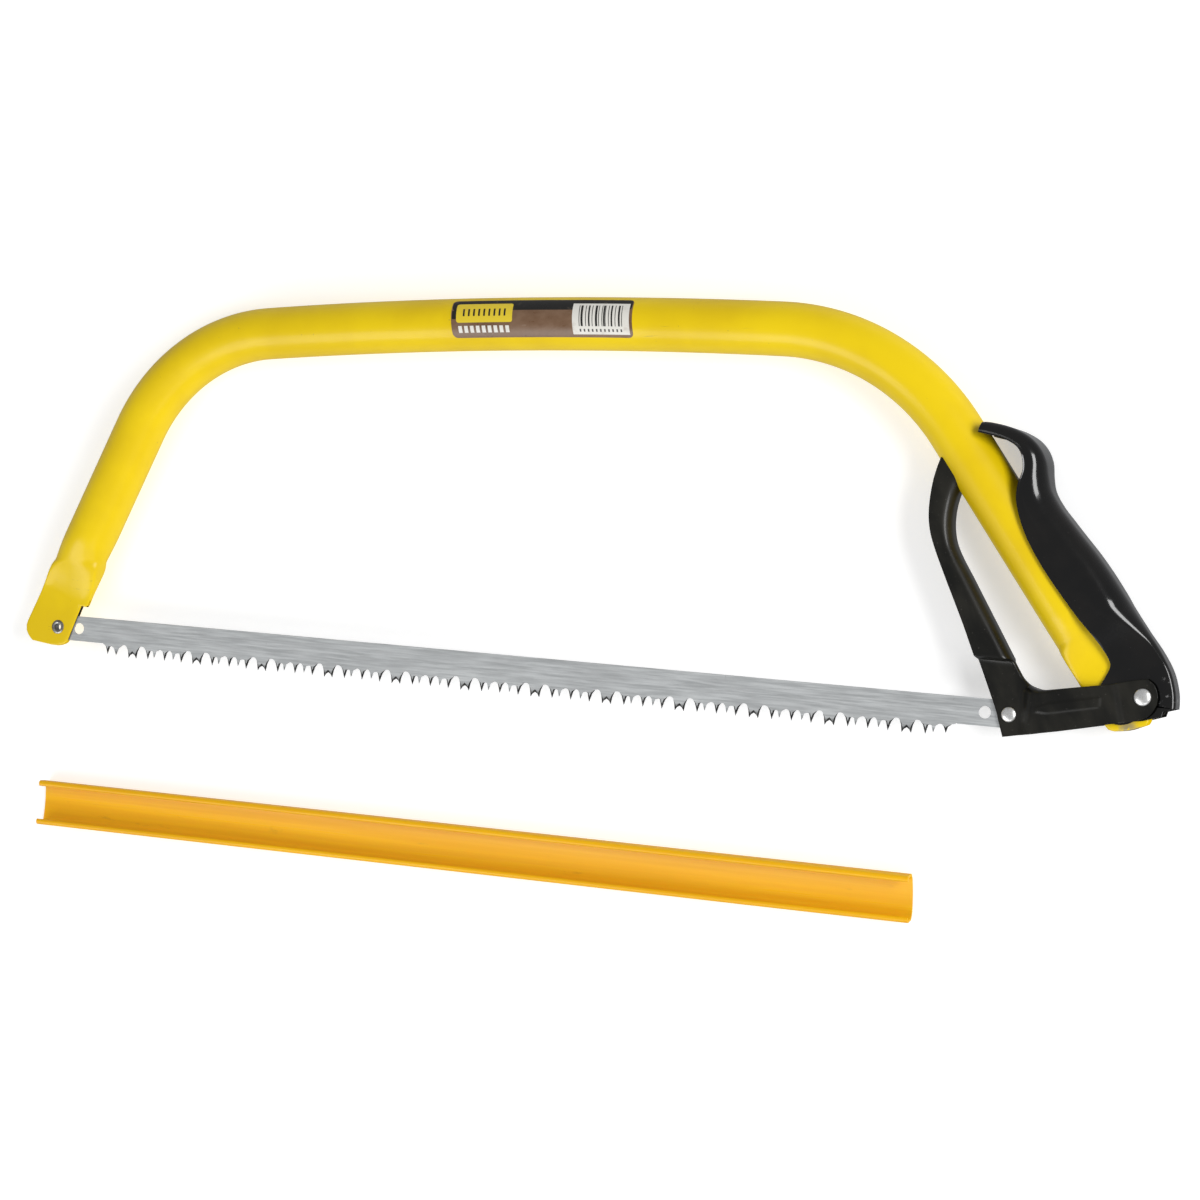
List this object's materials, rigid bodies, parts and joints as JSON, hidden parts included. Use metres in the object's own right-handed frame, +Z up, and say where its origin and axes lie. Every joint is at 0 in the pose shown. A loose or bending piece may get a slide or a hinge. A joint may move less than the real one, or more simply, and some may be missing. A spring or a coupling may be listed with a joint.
{
  "type": "bow saw",
  "caption": "Bow saw with a bent round-tube frame, a raker-tooth blade, a folding tension lever with a knuckle guard, a crown label and a loose channel-shaped blade cover.",
  "frame": {"origin": "middle of the saw and its loose cover together, on the surface the saw lies on", "axes": "+X along the blade from the toe to the handle, +Y from the blade to the top of the bow, +Z up off the surface, square to the flat of the saw"},
  "size_m": [0.7104, 0.34, 0.0344],
  "materials": {
    "frame_paint": "gloss yellow paint",
    "zinc": "zinc-plated steel, dulled",
    "blade_steel": "ground sheet steel",
    "black_paint": "gloss black paint",
    "guard_paint": "satin black-brown paint",
    "rivet_steel": "bright domed heads",
    "label_film": "semi-gloss printed film",
    "cover_plastic": "extruded orange-yellow plastic"
  },
  "bodies": {
    "frame": {"frame_tube": "frame_paint", "toe_pin": "zinc", "lever_fulcrum_pin": "zinc", "frame_label": "label_film"},
    "blade": {"saw_blade": "blade_steel"},
    "lever": {"tension_lever": "black_paint", "pivot_rivet_near": "rivet_steel", "pivot_rivet_far": "rivet_steel"},
    "guard": {"knuckle_guard": "guard_paint", "heel_rivet": "rivet_steel"},
    "cover": {"blade_cover": "cover_plastic"}
  },
  "joints": [
    {"name": "lever_swing", "type": "hinge", "parent": "frame", "child": "lever", "pos_m": [0.32577, -0.03426, 0.0172], "axis": [0, 0, 1], "range_deg": [-90, 0]},
    {"name": "guard_swing", "type": "hinge", "parent": "lever", "child": "guard", "pos_m": [0.33826, -0.03196, 0.0172], "axis": [0, 0, 1], "range_deg": [0, 110]},
    {"name": "blade_swing", "type": "hinge", "parent": "frame", "child": "blade", "pos_m": [-0.33224, -0.04776, 0.0172], "axis": [0, 0, 1], "range_deg": [-4, 0]},
    {"name": "cover_lift", "type": "slide", "parent": "frame", "child": "cover", "axis": [0, 0, 1], "range_m": [0, 0.15]}
  ],
  "couplings": [
    {"joint": "guard_swing", "follows": "lever_swing", "ratio": -1.1876},
    {"joint": "blade_swing", "follows": "lever_swing", "ratio": 0.0396}
  ]
}
